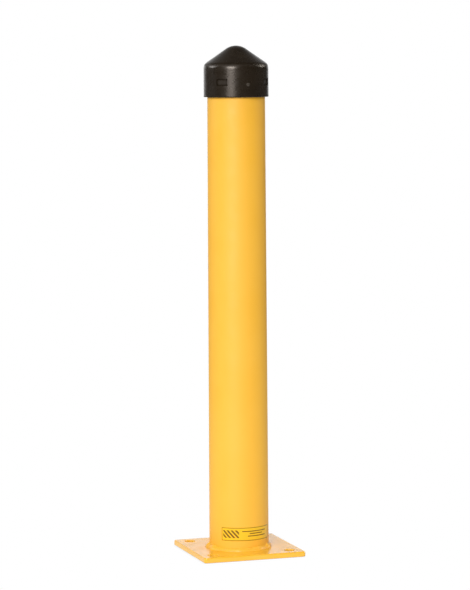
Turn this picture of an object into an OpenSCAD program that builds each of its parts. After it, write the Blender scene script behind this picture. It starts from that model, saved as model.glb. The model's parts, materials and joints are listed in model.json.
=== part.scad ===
// Steel safety bollard: a capped pipe welded to a square base plate that bolts to the floor.
// The origin is at the centre of the plate's underside. +Z is up, and the plate's sides lie along X and Y.

/* [Post tube] */
// Outside diameter of the pipe
tube_d = 114.3; // [90:0.1:141]
// Wall thickness of the pipe
tube_wall = 6.02; // [3:0.01:9]
// Length of the pipe, from the plate to its open top
tube_h = 914.4; // [600:0.1:1220]

/* [Base plate] */
// Side of the square plate
plate_side = 203.2; // [190:0.1:305]
// Thickness of the plate
plate_t = 9.525; // [6:0.005:16]
// Radius of the plate's four corners
plate_corner_r = 6; // [2:0.5:15]
// Distance between the centres of neighbouring anchor holes
hole_spacing = 152.4; // [150:0.1:165]
// Diameter of each anchor hole
hole_d = 19.05; // [13:0.05:22]

/* [Weld] */
// Leg of the weld bead that joins the tube to the plate
weld_leg = 6.5; // [4:0.5:9]

/* [Cap] */
// Gap between the tube and the inside of the skirt, which the grip pads bridge
cap_gap = 3.1; // [1.5:0.1:4]
// Wall thickness of the cap
cap_wall = 4; // [3:0.1:5]
// Slope of the cap's cone above the horizontal, in degrees
cap_slope = 37; // [28:0.5:40]
// Length of tube that the skirt covers
cap_grip = 58.4; // [52:0.1:70]
// Radius of the bend between the skirt and the cone
shoulder_r = 14.5; // [8:0.5:18]
// Radius of the rounded tip
tip_r = 35; // [20:0.5:40]
// Turn of the cap's mould line about the post, away from the plate's front, in degrees
cap_turn = 3.5; // [-45:0.5:45]

/* [Grip pads] */
// Width of each grip pocket, measured round the skirt
pocket_w = 23; // [12:0.5:26]
// Height of each grip pocket
pocket_h = 12.5; // [8:0.5:18]
// Height of the pockets' centres above the cap's rim
pocket_z = 29; // [22:0.5:30]
// Angle from the mould line to the nearest pockets, in degrees
pocket_turn = 47.5; // [40:0.5:50]

/* [Label] */
// Length of the label, measured round the tube
label_w = 107.5; // [40:0.5:160]
// Height of the label
label_h = 25.4; // [15:0.1:60]
// Height of the label's lower edge above the plate
label_z = 18; // [12:0.5:200]
// Thickness of the label
label_t = 0.2; // [0.1:0.05:0.5]

/* [Hidden] */
$fn = 96;

tube_r = tube_d / 2;
tube_top = plate_t + tube_h;

// The cap's pads and stops stand this far from the tube, so that the cap slides.
cap_clearance = 0.05;
cap_r = tube_r + cap_gap + cap_wall;
cap_rim_z = tube_top + cap_clearance - cap_grip;

// The cone's face meets the skirt's at this height above the rim, before the bend rounds the corner.
cap_corner_h = cap_grip + 2.2;

// The ribs under the cone rest on the tube's rim and stop the cap.
stop_count = 8;
stop_t = 3;
stop_inner_r = tube_r - tube_wall;

// A pocket's floor is flat. The wall behind it is a pad that bears on the tube.
pad_reach = tube_r + cap_clearance;
pocket_floor_r = pad_reach + cap_wall;
pocket_angles = [pocket_turn, 180 - pocket_turn, 180 + pocket_turn, -pocket_turn];

// The label's film stands this far off the tube, so that the two solids never overlap.
label_gap = 0.01;

// Two small ejector marks stand on the mould line, level with the pockets.
mark_d = 6.5;
mark_rise = 0.4;
mark_z = 25;

// Overlap that keeps cutting tools clear of the faces that they cut through.
eps = 1;

// One half of the cap's outline, as the distance from the axis and the height above the rim.
// inset moves the outline inwards by a wall thickness.
module cap_outline(inset) {
    r = cap_r - inset;
    bend_r = shoulder_r - inset;
    point_r = tip_r - inset;
    corner_h = cap_corner_h - inset * tan(45 - cap_slope / 2);
    bend_h = corner_h - bend_r * tan(cap_slope / 2);
    point_h = corner_h + r * tan(cap_slope) - point_r / cos(cap_slope);
    across = [sin(cap_slope), cos(cap_slope)];
    bend_centre = [r - bend_r, bend_h];
    point_centre = [0, point_h];
    square([r, bend_h]);
    translate(bend_centre) circle(r = bend_r);
    intersection() {
        translate(point_centre) circle(r = point_r);
        translate([0, point_h]) square(tip_r);
    }
    polygon([
        [0, bend_h],
        bend_centre,
        bend_centre + bend_r * across,
        point_centre + point_r * across,
        point_centre
    ]);
}

// A solid dome in the cap's outer or inner shape, closed at the rim.
module cap_dome(inset) {
    rotate_extrude() cap_outline(inset);
}

// The block behind one pocket: its inner face is the pad that bears on the tube.
module pad_block() {
    difference() {
        translate([0, -pocket_w / 2 - cap_wall, pocket_z - pocket_h / 2 - cap_wall])
            cube([cap_r - cap_wall / 2, pocket_w + 2 * cap_wall, pocket_h + 2 * cap_wall]);
        cylinder(r = pad_reach, h = cap_grip);
    }
}

// The recess that one pocket leaves in the outside of the skirt.
module pocket_cut() {
    translate([pocket_floor_r, -pocket_w / 2, pocket_z - pocket_h / 2])
        cube([cap_r, pocket_w, pocket_h]);
}

// The ribs that rest on the tube's rim, as slabs across the inside of the cap.
module stop_ribs() {
    difference() {
        for (i = [0 : stop_count / 2 - 1])
            rotate([0, 0, i * 360 / stop_count])
                translate([-cap_r, -stop_t / 2, cap_grip])
                    cube([2 * cap_r, stop_t, cap_r]);
        cylinder(r = stop_inner_r, h = cap_grip + 2 * cap_r);
    }
}

module post_tube() {
    color("gold")
        translate([0, 0, plate_t])
            difference() {
                cylinder(r = tube_r, h = tube_h);
                translate([0, 0, -eps]) cylinder(r = tube_r - tube_wall, h = tube_h + 2 * eps);
            }
}

module base_plate() {
    corner = plate_side / 2 - plate_corner_r;
    color("gold")
        difference() {
            linear_extrude(plate_t)
                union() {
                    square([plate_side, 2 * corner], center = true);
                    square([2 * corner, plate_side], center = true);
                    for (x = [-corner, corner], y = [-corner, corner])
                        translate([x, y]) circle(r = plate_corner_r);
                }
            for (x = [-1, 1], y = [-1, 1])
                translate([x * hole_spacing / 2, y * hole_spacing / 2, -eps])
                    cylinder(d = hole_d, h = plate_t + 2 * eps);
        }
}

// A convex fillet bead all the way round the foot of the tube.
module base_weld() {
    color("goldenrod")
        rotate_extrude()
            translate([tube_r, plate_t])
                intersection() {
                    circle(r = weld_leg);
                    square(weld_leg);
                }
}

module top_cap() {
    color("#23201a")
        translate([0, 0, cap_rim_z])
            rotate([0, 0, cap_turn - 90])
                difference() {
                    union() {
                        cap_dome(0);
                        for (side = [0, 180])
                            rotate([0, 0, side])
                                translate([cap_r - cap_wall, 0, mark_z])
                                    rotate([0, 90, 0]) cylinder(d = mark_d, h = cap_wall + mark_rise);
                    }
                    difference() {
                        translate([0, 0, -eps]) union() {
                            cylinder(r = cap_r - cap_wall, h = 2 * eps);
                            translate([0, 0, eps]) cap_dome(cap_wall);
                        }
                        stop_ribs();
                        for (a = pocket_angles) rotate([0, 0, a]) pad_block();
                    }
                    for (a = pocket_angles) rotate([0, 0, a]) pocket_cut();
                }
}

// A thin wrap on the front of the tube.
module label() {
    label_angle = label_w / tube_r * 180 / PI;
    color("yellow")
        rotate([0, 0, -90 - label_angle / 2])
            rotate_extrude(angle = label_angle)
                translate([tube_r + label_gap, plate_t + label_z]) square([label_t, label_h]);
}

post_tube();
base_plate();
base_weld();
top_cap();
label();
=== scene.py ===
"""Looks of the steel safety bollard: finer meshes, paint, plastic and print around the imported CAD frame.

Lengths are in metres, in the CAD's own frame: +Z up, origin at the centre of the plate's underside.
"""

import json
import math

import bmesh
import bpy
from mathutils import Matrix, Vector, noise


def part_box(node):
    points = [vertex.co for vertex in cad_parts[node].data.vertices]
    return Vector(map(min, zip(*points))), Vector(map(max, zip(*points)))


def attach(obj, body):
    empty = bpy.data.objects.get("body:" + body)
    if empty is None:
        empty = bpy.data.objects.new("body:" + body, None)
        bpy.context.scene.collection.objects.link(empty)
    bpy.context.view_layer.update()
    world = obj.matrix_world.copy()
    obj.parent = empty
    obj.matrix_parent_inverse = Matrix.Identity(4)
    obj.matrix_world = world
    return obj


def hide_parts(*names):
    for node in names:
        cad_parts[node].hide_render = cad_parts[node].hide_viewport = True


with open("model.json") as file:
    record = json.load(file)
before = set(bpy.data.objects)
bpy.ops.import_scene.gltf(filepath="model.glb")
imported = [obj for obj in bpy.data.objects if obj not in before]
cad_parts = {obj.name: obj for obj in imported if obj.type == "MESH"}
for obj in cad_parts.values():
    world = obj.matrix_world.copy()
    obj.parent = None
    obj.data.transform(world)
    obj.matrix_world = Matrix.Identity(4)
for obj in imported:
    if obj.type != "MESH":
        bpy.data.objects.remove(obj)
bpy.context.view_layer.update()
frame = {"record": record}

MM = 0.001
FULL_TURN = 2 * math.pi
SHARP_ANGLE = math.radians(38)

# ---------------------------------------------------------------- sizes, from the frame

tube_low, tube_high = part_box("post_tube")
plate_low, plate_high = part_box("base_plate")
weld_low, weld_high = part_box("base_weld")
cap_low, cap_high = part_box("top_cap")
label_low, label_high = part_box("label")
anchor_dims = next(m for m in frame["record"]["mounts"] if m["name"] == "anchor_holes")["dims"]

# A name that ends in COLUMN, ROW or FINE says how far apart a mesh's lines may lie: a length, or a turn
# round the post. Turns round the post count from +X.

TUBE_RADIUS = (tube_high.x - tube_low.x) / 2
TUBE_WALL = 6.02 * MM
TUBE_TOP = tube_high.z
TUBE_EDGE = 0.7 * MM
TUBE_SUNK = 0.2 * MM
TUBE_COLUMN = FULL_TURN / 192
SEAM_ANGLE = math.radians(60)
SEAM_RISE = 0.8 * MM
SEAM_HALF_WIDTH = 2.5 * MM

PLATE_HALF = plate_high.x
PLATE_TOP = plate_high.z
PLATE_CORNER = 6 * MM
PLATE_EDGE = 2.2 * MM
HOLE_OFFSET = anchor_dims["spacing_x_mm"] * MM / 2
HOLE_RADIUS = anchor_dims["hole_r_mm"] * MM

WELD_LEG = weld_high.z - weld_low.z
# The bead's leg as a share of the full one: its mean, a slow drift and a quick tremble. Then its bulge.
WELD_MEAN = 0.92
WELD_DRIFT = 0.10
WELD_TREMBLE = 0.05
WELD_BULGE = 0.10
WELD_SUNK = 0.3 * MM
WELD_FLATNESS = 1.45  # 1 is a round bead, 2 a flat one
RIPPLE_PITCH = 4.5 * MM
RIPPLE_RISE = 0.09 * MM
# A ripple bows round its crest, which lies at a share of the bead's width. The bow is in pitches.
RIPPLE_BOW = 2.2
RIPPLE_CREST = 0.45
WELD_ROWS = 16
WELD_COLUMN = FULL_TURN / 720

CAP_RIM = cap_low.z
CAP_TIP = cap_high.z
CAP_RADIUS = (cap_high.x - cap_low.x) / 2
CAP_WALL = 4 * MM
CAP_SLOPE = math.radians(37)
CAP_SHOULDER = 14.5 * MM  # the radius of the bend from cone to skirt
CAP_POINT = 35 * MM  # the radius of the tip
CAP_TURN = math.radians(3.5 - 90)  # where the mould line lies
CAP_EDGE = 0.8 * MM
CAP_FIT = 0.05 * MM  # from the pads to the tube, and from the ribs to its rim
CAP_COLUMN = FULL_TURN / 300
SKIRT_ROW = 2 * MM
BORE_ROW = 4 * MM

# Pockets and marks are placed by their turn from the mould line and their height above the rim.
POCKET_TURNS = [math.radians(turn) for turn in (47.5, 132.5, 227.5, 312.5)]
POCKET_HALF_WIDTH = 11.5 * MM
POCKET_HALF_HEIGHT = 6.25 * MM
POCKET_HEIGHT = 29 * MM
POCKET_LIP = 0.5 * MM
POCKET_FINE = 0.2 * MM
PAD_FINE = 0.25 * MM
MARK_TURNS = (0, math.pi)
MARK_RADIUS = 3.25 * MM
MARK_LIP = 0.6 * MM
MARK_REACH = 3.6 * MM  # how far the finer mesh round a mark goes
MARK_FINE = 0.4 * MM
MARK_HEIGHT = 25 * MM
MARK_RISE = 0.4 * MM
STOP_COUNT = 8
STOP_HALF_WIDTH = 1.5 * MM

LABEL_RADIUS = TUBE_RADIUS + 0.2 * MM  # of the film's outer face
LABEL_HALF_WIDTH = math.asin(label_high.x / LABEL_RADIUS) * LABEL_RADIUS
LABEL_CORNER = 1.5 * MM
LABEL_COLUMN = 1.5 * MM
LABEL_FINE = 0.2 * MM

# How many straight steps make a softened steel edge, one edge of the cap's rim, a bend of the cap,
# the cone's slope, a corner of the plate and a full circle.
EDGE_STEPS = 5
RIM_STEPS = 4
BEND_STEPS = 12
CONE_STEPS = 16
CORNER_STEPS = 12
CIRCLE_STEPS = 64

# Azimuth 0 looks along +Y. VIEW_DIRECTION is the turn at which the camera stands.
VIEW_AZIMUTH = math.radians(-18.12)
VIEW_DIRECTION = VIEW_AZIMUTH - math.pi / 2


# ---------------------------------------------------------------- mesh helpers

def add_piece(name, bm, body, slot, *nodes):
    """Turns bm into a smooth-shaded object that stands for the CAD nodes and rides on their body."""
    bmesh.ops.remove_doubles(bm, verts=bm.verts, dist=0.5e-6)
    bmesh.ops.recalc_face_normals(bm, faces=bm.faces)
    mesh = bpy.data.meshes.new(name)
    bm.to_mesh(mesh)
    bm.free()
    mesh.shade_smooth()
    mesh.set_sharp_from_angle(angle=SHARP_ANGLE)
    piece = bpy.data.objects.new(name, mesh)
    bpy.context.scene.collection.objects.link(piece)
    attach(piece, body)
    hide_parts(*nodes)
    return piece


def spaced(low, high, step):
    """Evenly spaced values from low to high, at most step apart, with both ends."""
    count = max(1, math.ceil((high - low) / step))
    return [low + (high - low) * i / count for i in range(count + 1)]


def stations(low, high, step, spots):
    """Like spaced(), but finer round each spot, given as (place, reach, fine step)."""
    values = spaced(low, high, step)
    for place, reach, fine in spots:
        values = [v for v in values if abs(v - place) > reach or v in (low, high)]
        values += [v for v in spaced(place - reach, place + reach, fine) if low < v < high]
    return sorted(set(values))


def arc(centre, radius, start, end, count):
    """Points from start to end, in degrees, round a centre in the plane of (distance from axis, height)."""
    turns = [math.radians(start + (end - start) * i / count) for i in range(count + 1)]
    return [(centre[0] + radius * math.cos(t), centre[1] + radius * math.sin(t)) for t in turns]


def between(start, end, steps):
    """The points that part the line from start to end into equal steps, without its ends."""
    return [tuple(a + (b - a) * i / steps for a, b in zip(start, end)) for i in range(1, steps)]


def revolve(angles, outline_at, closed):
    """A skin round the Z axis. outline_at(angle) gives as many (radius, height) points at every angle."""
    bm = bmesh.new()
    columns = []
    for angle in angles:
        across = Vector((math.cos(angle), math.sin(angle), 0))
        columns.append([bm.verts.new(across * r + Vector((0, 0, z))) for r, z in outline_at(angle)])
    rows = len(columns[0])
    for near, far in zip(columns, columns[1:] + columns[:1]):
        for low in range(rows if closed else rows - 1):
            high = (low + 1) % rows
            bm.faces.new((near[low], far[low], far[high], near[high]))
    return bm


def ease(value):
    """0 below 0, 1 above 1 and a smooth step between."""
    value = min(1.0, max(0.0, value))
    return value * value * (3 - 2 * value)


def angle_gap(a, b):
    """The signed turn from b to a, between minus and plus half a turn."""
    return (a - b + math.pi) % FULL_TURN - math.pi


def wobble(angle, height, scale, seed):
    """Smooth noise on a cylinder, between about -1 and 1. scale is features per turn."""
    place = Vector((math.cos(angle) * scale, math.sin(angle) * scale, height * scale + seed))
    return noise.noise(place)


# ---------------------------------------------------------------- pieces

def build_tube():
    """The pipe, with a rolled seam inside and softened edges under the paint."""
    inner = TUBE_RADIUS - TUBE_WALL
    foot = PLATE_TOP - TUBE_SUNK
    lip = TUBE_TOP - TUBE_EDGE

    def outline(angle):
        distance = angle_gap(angle, SEAM_ANGLE) * inner
        bore = inner - SEAM_RISE * math.exp(-((distance / SEAM_HALF_WIDTH) ** 2))
        outer_lip = arc((TUBE_RADIUS - TUBE_EDGE, lip), TUBE_EDGE, 0, 90, EDGE_STEPS)
        inner_lip = arc((bore + TUBE_EDGE, lip), TUBE_EDGE, 90, 180, EDGE_STEPS)
        return [(TUBE_RADIUS, foot)] + outer_lip + inner_lip + [(bore, foot)]

    reach = 3 * SEAM_HALF_WIDTH / inner
    angles = stations(0, FULL_TURN, TUBE_COLUMN, [(SEAM_ANGLE, reach, reach / 12)])[:-1]
    bm = revolve(angles, outline, closed=True)
    return add_piece("tube", bm, "post", "yellow_coat", "post_tube")


def circle_points(x, y, radius, start, end, count):
    """Points along an arc in the plate's plane. Angles are in degrees."""
    return [(x + px, y + py) for px, py in arc((0, 0), radius, start, end, count)]


def build_plate():
    """The plate, with rounded corners, four holes and softened edges."""
    curve = bpy.data.curves.new("plate_outline", "CURVE")
    curve.dimensions = "2D"
    curve.fill_mode = "BOTH"
    curve.extrude = (PLATE_TOP - plate_low.z) / 2 - PLATE_EDGE
    curve.bevel_depth = PLATE_EDGE
    curve.bevel_resolution = EDGE_STEPS
    curve.offset = -PLATE_EDGE
    middle = PLATE_HALF - PLATE_CORNER
    corners = ((middle, middle), (-middle, middle), (-middle, -middle), (middle, -middle))
    outline = []
    for turn, (x, y) in enumerate(corners):
        outline += circle_points(x, y, PLATE_CORNER, 90 * turn, 90 * (turn + 1), CORNER_STEPS)
    holes = [
        circle_points(x, y, HOLE_RADIUS, 0, -360, CIRCLE_STEPS)[:-1]
        for x in (-HOLE_OFFSET, HOLE_OFFSET)
        for y in (-HOLE_OFFSET, HOLE_OFFSET)
    ]
    for points in [outline] + holes:
        spline = curve.splines.new("POLY")
        spline.points.add(len(points) - 1)
        for point, (x, y) in zip(spline.points, points):
            point.co = (x, y, 0, 1)
        spline.use_cyclic_u = True
    source = bpy.data.objects.new("plate_outline", curve)
    bpy.context.scene.collection.objects.link(source)
    bpy.context.view_layer.update()
    mesh = bpy.data.meshes.new_from_object(source)
    bpy.data.objects.remove(source)
    mesh.transform(Matrix.Translation((0, 0, (PLATE_TOP + plate_low.z) / 2)))
    bm = bmesh.new()
    bm.from_mesh(mesh)
    bpy.data.meshes.remove(mesh)
    piece = add_piece("plate", bm, "post", "plate_coat", "base_plate")
    weighted = piece.modifiers.new("flat faces stay flat", "WEIGHTED_NORMAL")
    weighted.weight = 100
    return piece


# Where the welder stopped and started again:
# turn from the camera in degrees, extra leg, half width in degrees.
WELD_STARTS = (
    (-84, 2.6 * MM, 7),
    (-56, 2.2 * MM, 8),
    (44, 1.8 * MM, 8),
    (70, 3.2 * MM, 7),
    (165, 2.4 * MM, 8),
)


def weld_leg(angle):
    """The bead's leg at one angle: an uneven hand-laid run with thicker starts."""
    drift = WELD_DRIFT * wobble(angle, 0, scale=3, seed=4.1)
    tremble = WELD_TREMBLE * wobble(angle, 0, scale=14, seed=9.3)
    leg = WELD_LEG * (WELD_MEAN + drift + tremble)
    for turn, rise, half_width in WELD_STARTS:
        away = angle_gap(angle, VIEW_DIRECTION + math.radians(turn)) / math.radians(half_width)
        leg += rise * math.exp(-away * away)
    return leg


def build_weld():
    """The fillet bead: a convex section with bowed ripples, its toes sunk in tube and plate."""
    toe_radius = TUBE_RADIUS - WELD_SUNK
    toe_height = PLATE_TOP - WELD_SUNK

    def outline(angle):
        leg = weld_leg(angle)
        along = angle * TUBE_RADIUS / RIPPLE_PITCH
        points = [(toe_radius, toe_height)]
        for i in range(WELD_ROWS + 1):
            share = i / WELD_ROWS
            belly = math.sin(math.pi * share)
            bow = RIPPLE_BOW * (share - RIPPLE_CREST) ** 2
            ripple = RIPPLE_RISE * math.sin(FULL_TURN * (along + bow)) * belly
            bulge = 1.0 + WELD_BULGE * wobble(angle, share, scale=9, seed=2.7) * belly
            out = leg * math.sin(share * math.pi / 2) ** WELD_FLATNESS * bulge + ripple
            up = leg * math.cos(share * math.pi / 2) ** WELD_FLATNESS * bulge + ripple
            points.append((toe_radius + max(out, 0), toe_height + max(up, 0)))
        return points

    bm = revolve(spaced(0, FULL_TURN, WELD_COLUMN)[:-1], outline, closed=True)
    return add_piece("weld_bead", bm, "post", "weld_coat", "base_weld")


def cap_outline(inset):
    """The cap's section at inset below its outer face, from the tip to the foot of the shoulder's bend.

    Returns the points and that foot's height.
    """
    radius = CAP_RADIUS - inset
    bend = CAP_SHOULDER - inset
    point = CAP_POINT - inset
    point_centre = CAP_TIP - inset - point
    slope_normal = math.degrees(math.pi / 2 - CAP_SLOPE)
    apex = point_centre + point / math.cos(CAP_SLOPE)
    corner = apex - radius * math.tan(CAP_SLOPE)
    bend_height = corner - bend * math.tan(CAP_SLOPE / 2)
    tip = arc((0, point_centre), point, 90, slope_normal, BEND_STEPS)
    shoulder = arc((radius - bend, bend_height), bend, slope_normal, 0, BEND_STEPS)
    return tip + between(tip[-1], shoulder[0], CONE_STEPS) + shoulder, bend_height


def pocket_share(angle, height, grow):
    """How far a point lies inside a pocket made larger by grow: 1 inside, 0 outside, smooth at the lip."""
    best = 0.0
    for turn in POCKET_TURNS:
        side = abs(math.sin(angle_gap(angle, CAP_TURN + turn))) * CAP_RADIUS
        if math.cos(angle_gap(angle, CAP_TURN + turn)) < 0:
            continue
        across = ease((POCKET_HALF_WIDTH + grow - side) / POCKET_LIP + 0.5)
        upright = ease((POCKET_HALF_HEIGHT + grow - abs(height - POCKET_HEIGHT)) / POCKET_LIP + 0.5)
        best = max(best, across * upright)
    return best


def mark_rise(angle, height):
    """How far the small round marks on the mould line stand out of the skirt."""
    rise = 0.0
    for turn in MARK_TURNS:
        side = angle_gap(angle, CAP_TURN + turn) * CAP_RADIUS
        away = math.hypot(side, height - MARK_HEIGHT)
        rise += MARK_RISE * ease((MARK_RADIUS - away) / MARK_LIP + 0.5)
    return rise


def build_cap():
    """The moulded cap: pockets and marks outside, grip pads and stop ribs inside."""
    outer, outer_bend = cap_outline(0)
    inner, inner_bend = cap_outline(CAP_WALL)
    bore = CAP_RADIUS - CAP_WALL
    pad_reach = TUBE_RADIUS + CAP_FIT
    floor_distance = pad_reach + CAP_WALL
    seat = TUBE_TOP + CAP_FIT
    stop_inner = TUBE_RADIUS - TUBE_WALL
    pocket_edges = [POCKET_HEIGHT - POCKET_HALF_HEIGHT, POCKET_HEIGHT + POCKET_HALF_HEIGHT]
    pad_edges = [pocket_edges[0] - CAP_WALL, pocket_edges[1] + CAP_WALL]
    skirt_spots = [(MARK_HEIGHT, MARK_REACH, MARK_FINE)]
    skirt_spots += [(height, POCKET_LIP, POCKET_FINE) for height in pocket_edges]
    bore_spots = [(height, POCKET_LIP, PAD_FINE) for height in pad_edges]
    skirt_heights = stations(CAP_EDGE, outer_bend - CAP_RIM, SKIRT_ROW, skirt_spots)[:-1]
    bore_heights = stations(CAP_EDGE, inner_bend - CAP_RIM, BORE_ROW, bore_spots)[:-1]

    def skirt_radius(angle, height):
        share = pocket_share(angle, height, 0)
        if share == 0:
            return CAP_RADIUS + mark_rise(angle, height)
        quarter = min(abs(angle_gap(angle, CAP_TURN + turn)) for turn in POCKET_TURNS)
        floor = min(CAP_RADIUS, floor_distance / math.cos(quarter))
        return CAP_RADIUS + (floor - CAP_RADIUS) * share

    def bore_radius(angle, height):
        return bore + (pad_reach - bore) * pocket_share(angle, height, CAP_WALL)

    def under_rib(angle, point):
        """Over the tube's rim, a rib's column drops the inner skin to the seat."""
        radius, height = point
        spacing = FULL_TURN / STOP_COUNT
        turn = (angle - CAP_TURN + spacing / 2) % spacing - spacing / 2
        if abs(turn) * TUBE_RADIUS > STOP_HALF_WIDTH or radius < stop_inner:
            return point
        return (radius, min(height, seat))

    def outline(angle):
        skirt = [(skirt_radius(angle, h), CAP_RIM + h) for h in reversed(skirt_heights)]
        rim = arc((CAP_RADIUS - CAP_EDGE, CAP_RIM + CAP_EDGE), CAP_EDGE, 0, -90, RIM_STEPS)[1:]
        rim += arc((bore + CAP_EDGE, CAP_RIM + CAP_EDGE), CAP_EDGE, -90, -180, RIM_STEPS)[:-1]
        inside = [(bore_radius(angle, h), CAP_RIM + h) for h in bore_heights]
        dome = [under_rib(angle, p) for p in reversed(inner)]
        return outer + skirt + rim + inside + dome

    def spot(turn, reach, fine):
        """A place round the skirt that needs finer columns, with its lengths as angles."""
        return ((CAP_TURN + turn) % FULL_TURN, reach / CAP_RADIUS, fine / CAP_RADIUS)

    spots = [spot(turn, MARK_REACH, MARK_FINE) for turn in MARK_TURNS]
    for turn in POCKET_TURNS:
        for half_width in (POCKET_HALF_WIDTH, POCKET_HALF_WIDTH + CAP_WALL):
            half = math.asin(half_width / CAP_RADIUS)
            spots.append(spot(turn - half, POCKET_LIP, POCKET_FINE))
            spots.append(spot(turn + half, POCKET_LIP, POCKET_FINE))
    bm = revolve(stations(0, FULL_TURN, CAP_COLUMN, spots)[:-1], outline, closed=False)
    return add_piece("cap", bm, "cap", "black_plastic", "top_cap")


def build_label():
    """The label: a thin film with rounded corners, wrapped on the tube."""
    middle = (label_low.z + label_high.z) / 2
    half_height = (label_high.z - label_low.z) / 2
    bm = bmesh.new()
    columns = []
    ends = [(end, LABEL_CORNER, LABEL_FINE) for end in (-LABEL_HALF_WIDTH, LABEL_HALF_WIDTH)]
    for offset in stations(-LABEL_HALF_WIDTH, LABEL_HALF_WIDTH, LABEL_COLUMN, ends):
        into_corner = min(LABEL_CORNER, max(0, abs(offset) - (LABEL_HALF_WIDTH - LABEL_CORNER)))
        trim = LABEL_CORNER - math.sqrt(LABEL_CORNER**2 - into_corner**2)
        angle = offset / LABEL_RADIUS - math.pi / 2
        across = Vector((math.cos(angle), math.sin(angle), 0))
        low, high = middle - half_height + trim, middle + half_height - trim
        section = ((TUBE_RADIUS, low), (LABEL_RADIUS, low), (LABEL_RADIUS, high), (TUBE_RADIUS, high))
        columns.append([bm.verts.new(across * r + Vector((0, 0, z))) for r, z in section])
    for near, far in zip(columns, columns[1:]):
        for i in range(4):
            bm.faces.new((near[i], far[i], far[(i + 1) % 4], near[(i + 1) % 4]))
    bm.faces.new(columns[0])
    bm.faces.new(columns[-1])
    return add_piece("label_film", bm, "post", "label_film", "label")


# ---------------------------------------------------------------- materials

class Nodes:
    """Builds a node tree, one node at a time."""

    def __init__(self, tree):
        self.tree = tree

    def node(self, kind, **settings):
        """Adds a node and sets its properties."""
        node = self.tree.nodes.new(kind)
        for key, value in settings.items():
            setattr(node, key, value)
        return node

    def feed(self, socket, value):
        """Gives an input another node's output, or a plain value."""
        if isinstance(value, bpy.types.NodeSocket):
            self.tree.links.new(value, socket)
        else:
            socket.default_value = value

    def maths(self, operation, *values):
        """One step of arithmetic."""
        node = self.node("ShaderNodeMath", operation=operation)
        for socket, value in zip(node.inputs, values):
            self.feed(socket, value)
        return node.outputs[0]

    def spread(self, value, low, high, to_low=0.0, to_high=1.0):
        """Maps low..high smoothly to to_low..to_high and holds the ends."""
        node = self.node("ShaderNodeMapRange", interpolation_type="SMOOTHSTEP")
        for socket, number in zip(node.inputs, (value, low, high, to_low, to_high)):
            self.feed(socket, number)
        return node.outputs[0]


class Shader(Nodes):
    """One procedural material."""

    def __init__(self, name):
        self.material = bpy.data.materials.new(name)
        self.material.use_nodes = True
        super().__init__(self.material.node_tree)
        self.bsdf = self.tree.nodes["Principled BSDF"]
        self.place = self.node("ShaderNodeTexCoord").outputs["Object"]

    def noise(self, scale, detail=2.0):
        """Noise between 0 and 1 with about scale features a metre."""
        node = self.node("ShaderNodeTexNoise")
        self.feed(node.inputs["Vector"], self.place)
        node.inputs["Scale"].default_value = scale
        node.inputs["Detail"].default_value = detail
        return node.outputs["Fac"]

    def axes(self):
        """The place's x, y and z."""
        split = self.node("ShaderNodeSeparateXYZ")
        self.feed(split.inputs[0], self.place)
        return split.outputs

    def radius(self):
        """The distance from the post's axis."""
        x, y, _ = self.axes()
        squares = self.maths("ADD", self.maths("MULTIPLY", x, x), self.maths("MULTIPLY", y, y))
        return self.maths("SQRT", squares)

    def mix(self, share, first, second):
        """A colour between first and second."""
        node = self.node("ShaderNodeMix", data_type="RGBA")
        self.feed(node.inputs["Factor"], share)
        colours = [s for s in node.inputs if s.type == "RGBA"]
        self.feed(colours[0], first)
        self.feed(colours[1], second)
        return next(s for s in node.outputs if s.type == "RGBA")

    def bump(self, height, distance, normal=None):
        """A bump of the given depth in metres, on top of another normal."""
        node = self.node("ShaderNodeBump")
        node.inputs["Strength"].default_value = 1.0
        node.inputs["Distance"].default_value = distance
        self.feed(node.inputs["Height"], height)
        if normal is not None:
            self.feed(node.inputs["Normal"], normal)
        return node.outputs[0]

    def crevice(self, reach):
        """1 in the open, falling towards 0 in corners closer than reach."""
        node = self.node("ShaderNodeAmbientOcclusion", samples=8)
        node.inputs["Distance"].default_value = reach
        return node.outputs["AO"]

    def finish(self, **values):
        """Feeds the surface's inputs, which are named with _ for a space, and returns the material."""
        for key, value in values.items():
            self.feed(self.bsdf.inputs[key.replace("_", " ")], value)
        return self.material


YELLOW = (0.92, 0.485, 0.032, 1)
# YELLOW_DEEP is the coat's painted shade in corners.
YELLOW_DEEP = (0.86, 0.40, 0.010, 1)
YELLOW_PALE = (0.93, 0.50, 0.040, 1)
MILL_SCALE = (0.075, 0.072, 0.075, 1)
RUST = (0.16, 0.075, 0.035, 1)
BLACK = (0.0125, 0.0083, 0.0044, 1)
BLACK_WORN = (0.0165, 0.0112, 0.0062, 1)
MARK_GREY = (0.07, 0.06, 0.05, 1)
WARM_WHITE = (1.0, 0.93, 0.88, 1)
NOISE_SPAN = (0.3, 0.7)  # where most values of a noise lie
CORNER_REACH = 6 * MM
CORNER_SHADE_SHARE = 0.3  # the share of painted shade in a corner: how far the coat there turns to the deep yellow
COAT_SHINE = 0.68
# How far down the bore paint can reach, over what depth it thins out and how ragged its edge is.
OVERSPRAY = 32 * MM
OVERSPRAY_FADE = 18 * MM
OVERSPRAY_RAGS = 24 * MM
PLASTIC_ROUGHNESS = (0.26, 0.32)
POCKET_ROUGHNESS = 0.14  # added to the rest
PLASTIC_SHINE = (0.02, 0.62)  # painted shade: the reflection's level in a corner and in the open
MARK_SHARE = 0.8


def bare_bore(coat):
    """1 deep in the pipe's bore, 0 on all other faces, with a ragged edge of overspray below the rim."""
    wall = TUBE_RADIUS - TUBE_WALL
    inside = coat.spread(coat.radius(), wall + 0.5 * MM, wall + 1.5 * MM, 1.0, 0.0)
    depth = coat.maths("SUBTRACT", TUBE_TOP, coat.axes()[2])
    ragged = coat.maths("ADD", depth, coat.maths("MULTIPLY", coat.noise(70, detail=5), OVERSPRAY_RAGS))
    return coat.maths("MULTIPLY", inside, coat.spread(ragged, OVERSPRAY - OVERSPRAY_FADE, OVERSPRAY))


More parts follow.
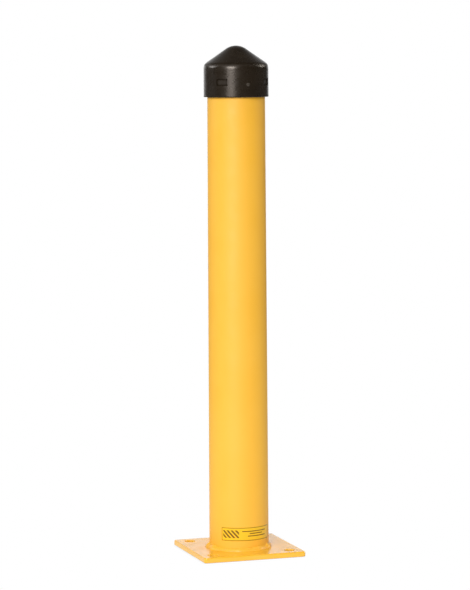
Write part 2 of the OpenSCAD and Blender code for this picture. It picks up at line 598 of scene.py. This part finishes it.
def powder_coat(name, roughness, peel, peel_depth, bare=None):
    """Safety-yellow powder coat: slight flow in the colour, orange peel, and painted shade in the corners.

    peel is how many bumps the orange peel has in a metre. bare gives the share of bare steel.
    """
    coat = Shader(name)
    flow = coat.spread(coat.noise(9, detail=3), 0.35, 0.65)
    colour = coat.mix(flow, YELLOW, YELLOW_PALE)
    # Painted shade: where ambient occlusion finds a corner, as at the weld and under the cap, the coat
    # turns towards the deep yellow.
    corner = coat.spread(coat.crevice(CORNER_REACH), 0.25, 0.95, 1.0, 0.0)
    colour = coat.mix(coat.maths("MULTIPLY", corner, CORNER_SHADE_SHARE), colour, YELLOW_DEEP)
    gloss = coat.spread(coat.noise(35, detail=4), *NOISE_SPAN, roughness - 0.04, roughness + 0.05)
    normal = coat.bump(coat.noise(peel, detail=1.5), peel_depth)
    if bare:
        steel = coat.mix(coat.spread(coat.noise(180, detail=5), 0.45, 0.6), MILL_SCALE, RUST)
        colour = coat.mix(bare(coat), colour, steel)
    return coat.finish(Base_Color=colour, Roughness=gloss, Normal=normal, Specular_IOR_Level=COAT_SHINE)


def black_plastic():
    """Satin moulded polyethylene: fine grain and faint flow marks, duller pockets and lighter grey marks,
    with painted shade that dims the reflection in corners.
    """
    shell = Shader("satin_black_plastic")
    flow = shell.spread(shell.noise(40, detail=3), *NOISE_SPAN)
    colour = shell.mix(flow, BLACK, BLACK_WORN)
    gloss = shell.spread(shell.noise(120, detail=4), *NOISE_SPAN, *PLASTIC_ROUGHNESS)
    distance = shell.radius()
    bore = CAP_RADIUS - CAP_WALL
    below_skirt = shell.spread(distance, CAP_RADIUS - 0.9 * MM, CAP_RADIUS - 0.5 * MM, 1.0, 0.0)
    outside_bore = shell.spread(distance, bore + 0.3 * MM, bore + 0.6 * MM)
    in_pocket = shell.maths("MULTIPLY", below_skirt, outside_bore)
    on_mark = shell.spread(distance, CAP_RADIUS + 0.15 * MM, CAP_RADIUS + 0.3 * MM)
    colour = shell.mix(shell.maths("MULTIPLY", on_mark, MARK_SHARE), colour, MARK_GREY)
    gloss = shell.maths("ADD", gloss, shell.maths("MULTIPLY", in_pocket, POCKET_ROUGHNESS))
    grain = shell.bump(shell.noise(1500, detail=1), 0.003 * MM)
    normal = shell.bump(shell.noise(45, detail=1), 0.03 * MM, grain)
    # Painted shade: ambient occlusion dims the reflection in corners, which draws dark outlines in the
    # pockets.
    corner_shaded_shine = shell.spread(shell.crevice(CORNER_REACH), 0.6, 1.0, *PLASTIC_SHINE)
    return shell.finish(
        Base_Color=colour,
        Roughness=gloss,
        Normal=normal,
        Specular_IOR_Level=corner_shaded_shine,
        Specular_Tint=WARM_WHITE,
    )


LABEL_YELLOW = (0.90, 0.57, 0.02, 1)
LABEL_YELLOW_DEEP = (0.85, 0.53, 0.015, 1)
LINE_BROWN = (0.30, 0.13, 0.01, 1)
INK_BROWN = (0.15, 0.066, 0.004, 1)
LINE_SHARE = 0.9
INK_SHARE = 0.92
LABEL_SHINE = 0.3
LABEL_ROUGHNESS = (0.30, 0.40)
PRINT_SOFTNESS = 0.12 * MM
# The border line's outer and inner edges, measured in from the film's edge.
BORDER_OUTER = 0.6 * MM
BORDER_INNER = 1.9 * MM
# The striped block and the plain bars: left and right ends from the label's middle, heights from its foot.
STRIPE_BLOCK = (-50 * MM, -18 * MM, 6 * MM, 20 * MM)
STRIPE_HALF_PITCH = 4.2 * MM
STRIPE_EDGE = (1.8 * MM, 2.0 * MM)
BARS = ((-12 * MM, 42 * MM, 17 * MM), (3 * MM, 32 * MM, 12.8 * MM), (-1 * MM, 41 * MM, 8.2 * MM))
BAR_HEIGHT = 1.8 * MM


def label_print():
    """Printed film: a yellow ground with border lines, a striped block and three plain bars."""
    film = Shader("label_print")
    x, y, z = film.axes()
    turn = film.maths("ARCTAN2", x, film.maths("MULTIPLY", y, -1.0))
    across = film.maths("MULTIPLY", turn, LABEL_RADIUS)
    height = film.maths("SUBTRACT", z, label_low.z)
    tall = label_high.z - label_low.z

    def band(value, low, high):
        """1 between low and high, with a hair of softness at the ends."""
        above = film.spread(value, low - PRINT_SOFTNESS, low + PRINT_SOFTNESS)
        below = film.spread(value, high - PRINT_SOFTNESS, high + PRINT_SOFTNESS, 1.0, 0.0)
        return film.maths("MULTIPLY", above, below)

    def block(left, right, low, high):
        """1 in a rectangle of the print."""
        return film.maths("MULTIPLY", band(across, left, right), band(height, low, high))

    def inset(margin):
        """1 further in from the film's edge than margin."""
        return block(-LABEL_HALF_WIDTH + margin, LABEL_HALF_WIDTH - margin, margin, tall - margin)

    wave = film.maths("PINGPONG", film.maths("ADD", across, height), STRIPE_HALF_PITCH)
    ink = film.maths("MULTIPLY", film.spread(wave, *STRIPE_EDGE), block(*STRIPE_BLOCK))
    for left, right, low in BARS:
        ink = film.maths("MAXIMUM", ink, block(left, right, low, low + BAR_HEIGHT))
    line = film.maths("SUBTRACT", inset(BORDER_OUTER), inset(BORDER_INNER))
    ground = film.mix(film.noise(60), LABEL_YELLOW, LABEL_YELLOW_DEEP)
    colour = film.mix(film.maths("MULTIPLY", line, LINE_SHARE), ground, LINE_BROWN)
    colour = film.mix(film.maths("MULTIPLY", ink, INK_SHARE), colour, INK_BROWN)
    gloss = film.spread(film.noise(150, detail=3), *NOISE_SPAN, *LABEL_ROUGHNESS)
    normal = film.bump(film.noise(900), 0.01 * MM)
    return film.finish(Base_Color=colour, Roughness=gloss, Normal=normal, Specular_IOR_Level=LABEL_SHINE)


# ---------------------------------------------------------------- stage, light and camera

def away_from_camera(turn, elevation):
    """Unit vector from the post, turned right of the camera's direction, in degrees."""
    angle = VIEW_DIRECTION + math.radians(turn)
    level = math.cos(math.radians(elevation))
    return Vector((math.cos(angle) * level, math.sin(angle) * level, math.sin(math.radians(elevation))))


LIGHT_DISTANCE = 6.0


def add_light(name, turn, elevation, width, height, power, colour=(1, 1, 1), mirrored=True):
    """A soft box that faces the middle of the post. If it isn't mirrored, no surface reflects its shape."""
    data = bpy.data.lights.new(name, "AREA")
    data.shape = "RECTANGLE"
    data.size = width
    data.size_y = height
    data.energy = power
    data.color = colour
    light = bpy.data.objects.new(name, data)
    target = Vector((0, 0, TUBE_TOP / 2))
    direction = away_from_camera(turn, elevation)
    light.location = target + direction * LIGHT_DISTANCE
    light.rotation_euler = direction.to_track_quat("Z", "Y").to_euler()
    light.visible_glossy = mirrored
    bpy.context.scene.collection.objects.link(light)


# The pale wall's middle lies at WALL_TURN from the camera. Its sides fade out between two cosines of the
# turn from there. It gets darker with height, and between two sines of elevation it becomes the ceiling.
WALL_TURN = 185
WALL_LEVEL = 2.05
WALL_SIDES = (0.70, 0.96)
WALL_FADE = 0.27
WALL_END = (0.7, 0.95)
CEILING_SHARE = 0.35
LEAST_LEVEL = 0.001  # keeps a division from reaching zero
ROOM_LEVEL = 0.03
ROOM_LEFT = 0.08


def build_world():
    """White to the camera. To the object: a pale wall behind that fades upwards, in a dim room."""
    world = bpy.data.worlds.new("studio")
    world.use_nodes = True
    sky = Nodes(world.node_tree)
    sky.tree.nodes.clear()
    direction = sky.node("ShaderNodeTexCoord").outputs["Generated"]

    def towards(target):
        dot = sky.node("ShaderNodeVectorMath", operation="DOT_PRODUCT")
        sky.feed(dot.inputs[0], direction)
        sky.feed(dot.inputs[1], target)
        return dot.outputs["Value"]

    up = towards((0, 0, 1))
    level_squared = sky.maths("SUBTRACT", 1.0, sky.maths("MULTIPLY", up, up))
    level = sky.maths("SQRT", sky.maths("MAXIMUM", level_squared, LEAST_LEVEL))
    behind = sky.maths("DIVIDE", towards(away_from_camera(WALL_TURN, 0)), level)
    height = sky.maths("DIVIDE", up, WALL_FADE)
    fade = sky.maths("DIVIDE", 1.0, sky.maths("ADD", 1.0, sky.maths("MULTIPLY", height, height)))
    fade = sky.maths("MULTIPLY", fade, sky.spread(up, *WALL_END, 1.0, CEILING_SHARE))
    wall = sky.maths("MULTIPLY", sky.spread(behind, *WALL_SIDES), sky.maths("MULTIPLY", fade, WALL_LEVEL))
    left = sky.maths("MULTIPLY", sky.maths("MAXIMUM", towards(away_from_camera(-90, 0)), 0.0), ROOM_LEFT)
    room = sky.node("ShaderNodeBackground")
    sky.feed(room.inputs["Strength"], sky.maths("ADD", wall, sky.maths("ADD", left, ROOM_LEVEL)))
    page = sky.node("ShaderNodeBackground")
    sky.feed(page.inputs["Color"], (1, 1, 1, 1))
    blend = sky.node("ShaderNodeMixShader")
    sky.feed(blend.inputs[0], sky.node("ShaderNodeLightPath").outputs["Is Camera Ray"])
    sky.feed(blend.inputs[1], room.outputs[0])
    sky.feed(blend.inputs[2], page.outputs[0])
    sky.feed(sky.node("ShaderNodeOutputWorld").inputs["Surface"], blend.outputs[0])
    bpy.context.scene.world = world


FLOOR_RADIUS = 30.0
FLOOR_GLOW = 0.9
FLOOR_DARK = 0.1
FLOOR_SHEET = (1.0, 2.4)  # the glow fades from the first to the second distance
FLOOR_DROP = 0.3 * MM
CONTACT_REACH = 30 * MM
CONTACT_SHADE = 0.8
PLATE_MARGIN = 3 * MM


def build_floor():
    """A white sheet that glows softly near the post, but not under the plate, where no light gets in. To
    the camera it is plain white with a painted contact shadow round the plate.
    """
    bm = bmesh.new()
    bmesh.ops.create_circle(bm, cap_ends=True, segments=CIRCLE_STEPS, radius=FLOOR_RADIUS)
    mesh = bpy.data.meshes.new("floor")
    bm.to_mesh(mesh)
    bm.free()
    floor = bpy.data.objects.new("floor", mesh)
    floor.location.z = -FLOOR_DROP
    bpy.context.scene.collection.objects.link(floor)
    paper = Shader("floor_paper")
    rays = paper.node("ShaderNodeLightPath")
    # Painted shadow: to the camera the floor is white, darkened by ambient occlusion near the plate.
    contact_shadow = paper.spread(paper.crevice(CONTACT_REACH), 0.0, 0.8, CONTACT_SHADE, 1.0)
    far = paper.spread(paper.radius(), *FLOOR_SHEET, FLOOR_GLOW, FLOOR_DARK)
    x, y, _ = paper.axes()
    square = paper.maths("MAXIMUM", paper.maths("ABSOLUTE", x), paper.maths("ABSOLUTE", y))
    sheet = paper.maths("MULTIPLY", far, paper.spread(square, PLATE_HALF - PLATE_MARGIN, PLATE_HALF))
    level = paper.node("ShaderNodeMix", data_type="FLOAT")
    paper.feed(level.inputs[0], rays.outputs["Is Camera Ray"])
    paper.feed(level.inputs[2], sheet)
    paper.feed(level.inputs[3], contact_shadow)
    glow = paper.node("ShaderNodeEmission")
    paper.feed(glow.inputs["Strength"], level.outputs[0])
    paper.feed(paper.tree.nodes["Material Output"].inputs["Surface"], glow.outputs[0])
    mesh.materials.append(paper.material)


# The lens and the sensor are in millimetres, and the shift is a share of the sensor's width.
CAMERA_SENSOR = 36
CAMERA_DISTANCE = 5.404
CAMERA_HEIGHT = 0.997
CAMERA_PAN = math.radians(0.04)
CAMERA_TILT = math.radians(8.14)
CAMERA_ROLL = math.radians(-0.384)
CAMERA_LENS = 164.4
CAMERA_SHIFT = -1.103
CAMERA_REACH = 0.1  # this far from its place, the camera has lost all its shift


def add_camera():
    """The camera looks slightly up, and its frame is the lower part of the lens's view."""
    data = bpy.data.cameras.new("camera")
    data.sensor_width = CAMERA_SENSOR
    data.lens = CAMERA_LENS
    camera = bpy.data.objects.new("camera", data)
    bpy.context.scene.collection.objects.link(camera)
    place = away_from_camera(0, 0) * CAMERA_DISTANCE + Vector((0, 0, CAMERA_HEIGHT))
    heading = Matrix.Rotation(VIEW_AZIMUTH - CAMERA_PAN, 4, "Z")
    tilt = Matrix.Rotation(math.pi / 2 + CAMERA_TILT, 4, "X")
    roll = Matrix.Rotation(CAMERA_ROLL, 4, "Z")
    camera.matrix_world = Matrix.Translation(place) @ heading @ tilt @ roll
    bpy.context.scene.camera = camera

    # The shift belongs to this one viewpoint: away from it, the camera is a plain centred one.
    tripod = bpy.data.objects.new("tripod", None)
    tripod.location = place
    bpy.context.scene.collection.objects.link(tripod)
    shift = data.driver_add("shift_y")
    shift.modifiers.remove(shift.modifiers[0])  # so that the keys below set the values
    shift.driver.type = "SUM"
    distance = shift.driver.variables.new()
    distance.type = "LOC_DIFF"
    distance.targets[0].id = camera
    distance.targets[1].id = tripod
    for away, value in ((0.0, CAMERA_SHIFT), (CAMERA_REACH, 0.0)):
        shift.keyframe_points.insert(away, value).interpolation = "LINEAR"


# ---------------------------------------------------------------- the scene

tube = build_tube()
plate = build_plate()
weld = build_weld()
cap = build_cap()
label = build_label()

tube_coat = powder_coat("tube_powder_coat", roughness=0.55, peel=420, peel_depth=0.03 * MM, bare=bare_bore)
plate_coat = powder_coat("plate_powder_coat", roughness=0.22, peel=160, peel_depth=0.012 * MM)
weld_coat = powder_coat("weld_powder_coat", roughness=0.42, peel=300, peel_depth=0.02 * MM)
tube.data.materials.append(tube_coat)
plate.data.materials.append(plate_coat)
weld.data.materials.append(weld_coat)
cap.data.materials.append(black_plastic())
label.data.materials.append(label_print())

build_world()
build_floor()
add_light("key", -18, 21, width=2.4, height=3.2, power=298, colour=(1.0, 0.95, 0.90))
add_light("fill", 24, 12, width=3.0, height=3.0, power=65, mirrored=False)
add_light("overhead", 0, 85, width=3.0, height=3.0, power=110, mirrored=False)
add_light("left_edge", -98, 24, width=2.4, height=1.8, power=90)
add_light("right_edge", 111, 26, width=1.0, height=1.8, power=80, colour=(1.0, 0.95, 0.85))
add_camera()
bpy.context.scene.view_settings.view_transform = "Standard"
